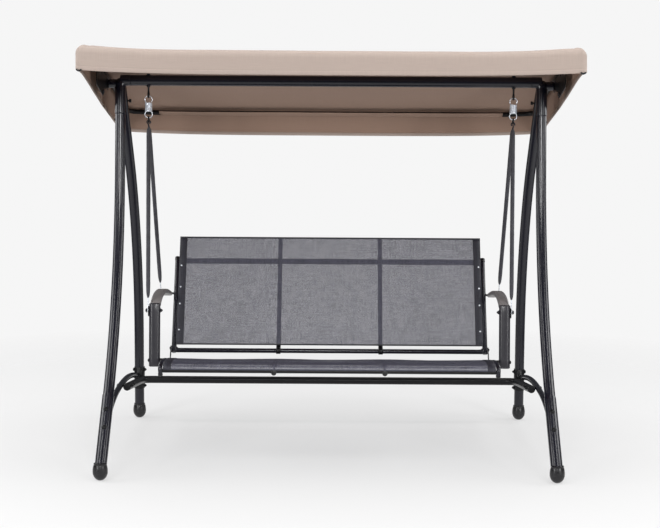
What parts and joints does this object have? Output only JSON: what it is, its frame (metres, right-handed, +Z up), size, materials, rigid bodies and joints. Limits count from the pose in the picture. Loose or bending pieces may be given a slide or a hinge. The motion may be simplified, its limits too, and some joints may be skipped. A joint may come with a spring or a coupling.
{
  "type": "canopy swing bench",
  "caption": "Free-standing garden swing bench: bent steel-tube A-frames, a tilting fabric canopy and a mesh sling seat with armrests hung on springs.",
  "frame": {"origin": "middle of the footprint on the floor, at the centre of the bounding box's bottom face", "axes": "+Z up, X across the width with left at -X, -Y towards the front of the bench"},
  "size_m": [1.732, 1.152, 1.4951],
  "materials": {
    "powder_coated_steel": "satin",
    "black_steel": "satin",
    "zinc_plated_steel": "satin",
    "black_plastic": "satin",
    "canopy_fabric": "matte",
    "mesh_fabric": "matte",
    "hanger_sleeve": "matte"
  },
  "bodies": {
    "frame": {"top_beam": "powder_coated_steel", "hub_left": "powder_coated_steel", "hub_right": "powder_coated_steel", "eye_bolt_left": "black_steel", "eye_bolt_right": "black_steel", "front_leg_left": "powder_coated_steel", "front_leg_right": "powder_coated_steel", "front_leg_lower_left": "powder_coated_steel", "front_leg_lower_right": "powder_coated_steel", "rear_leg_left": "powder_coated_steel", "rear_leg_right": "powder_coated_steel", "front_foot_left": "black_plastic", "front_foot_right": "black_plastic", "rear_foot_left": "black_plastic", "rear_foot_right": "black_plastic", "side_brace_left": "powder_coated_steel", "side_brace_right": "powder_coated_steel", "rear_crossbar": "powder_coated_steel"},
    "canopy": {"canopy_cover": "canopy_fabric", "canopy_front_tube": "black_steel", "canopy_rear_tube": "black_steel", "canopy_side_tube_left": "black_steel", "canopy_side_tube_right": "black_steel", "canopy_bracket_left": "black_steel", "canopy_bracket_right": "black_steel"},
    "knob_left": {"tilt_knob_left": "black_plastic"},
    "knob_right": {"tilt_knob_right": "black_plastic"},
    "springs": {"spring_left": "zinc_plated_steel", "spring_right": "zinc_plated_steel"},
    "links": {"link_ring_left": "black_steel", "link_ring_right": "black_steel"},
    "bench": {"hanger_front_left": "hanger_sleeve", "hanger_front_right": "hanger_sleeve", "hanger_rear_left": "hanger_sleeve", "hanger_rear_right": "hanger_sleeve", "arm_post_left": "powder_coated_steel", "arm_post_right": "powder_coated_steel", "armrest_left": "powder_coated_steel", "armrest_right": "powder_coated_steel", "arm_front_bolt_left": "black_steel", "arm_front_bolt_right": "black_steel", "arm_rear_bolt_left": "black_steel", "arm_rear_bolt_right": "black_steel", "seat_side_rail_left": "powder_coated_steel", "seat_side_rail_right": "powder_coated_steel", "seat_stay_left": "powder_coated_steel", "seat_stay_right": "powder_coated_steel", "seat_front_rail": "powder_coated_steel", "seat_rear_rail": "powder_coated_steel", "seat_sling": "mesh_fabric", "back_side_bar_left": "powder_coated_steel", "back_side_bar_right": "powder_coated_steel", "back_stay_left": "powder_coated_steel", "back_stay_right": "powder_coated_steel", "rear_bar": "powder_coated_steel", "back_mid_rail": "powder_coated_steel", "back_sling": "mesh_fabric", "corner_plate_left": "powder_coated_steel", "corner_plate_right": "powder_coated_steel"}
  },
  "joints": [
    {"name": "canopy_tilt", "type": "hinge", "parent": "frame", "child": "canopy", "pos_m": [0, 0.0375, 1.376], "axis": [1, 0, 0], "range_deg": [-15, 25]},
    {"name": "knob_left_turn", "type": "hinge", "parent": "canopy", "child": "knob_left", "pos_m": [-0.84, 0.0375, 1.376], "axis": [-1, 0, 0], "range_deg": [0, 180]},
    {"name": "knob_right_turn", "type": "hinge", "parent": "canopy", "child": "knob_right", "pos_m": [0.84, 0.0375, 1.376], "axis": [1, 0, 0], "range_deg": [0, 180]},
    {"name": "swing", "type": "hinge", "parent": "frame", "child": "springs", "pos_m": [0, 0.0375, 1.3286], "axis": [1, 0, 0], "range_deg": [-20, 20]},
    {"name": "spring_stretch", "type": "slide", "parent": "springs", "child": "links", "axis": [0, 0, -1], "range_m": [0, 0.03], "stiffness_N_per_m": 60000, "springref_m": -0.00115, "deforming": ["spring_left", "spring_right"]},
    {"name": "bench_rock", "type": "hinge", "parent": "links", "child": "bench", "pos_m": [0, 0.0375, 1.2512], "axis": [1, 0, 0], "range_deg": [-9, 9]}
  ]
}
